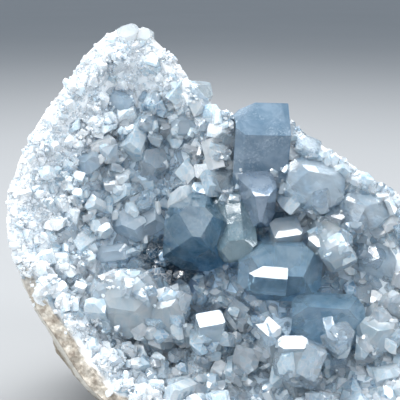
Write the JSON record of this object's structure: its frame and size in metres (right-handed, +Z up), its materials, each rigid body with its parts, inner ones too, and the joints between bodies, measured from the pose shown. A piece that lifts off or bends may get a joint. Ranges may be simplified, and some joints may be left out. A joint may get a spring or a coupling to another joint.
{
  "type": "celestite geode",
  "caption": "Half of a hollow nodule of rock, resting on a flat spot with its opening tilted up, lined with massive celestite and pale blue crystals.",
  "frame": {"origin": "middle of the flat spot that the nodule rests on", "axes": "+Z up, +X to the right along the longest side, and the opening looks towards -Y and up"},
  "size_m": [0.1519, 0.0986, 0.1365],
  "materials": {
    "host_rock": "rough brown-grey rock skin, pitted and dusty",
    "celestite": "translucent pale blue crystals with glassy faces on white, sugary massive celestite"
  },
  "bodies": {
    "root": {"rind": "host_rock", "crystal_crust": "celestite"}
  },
  "joints": []
}
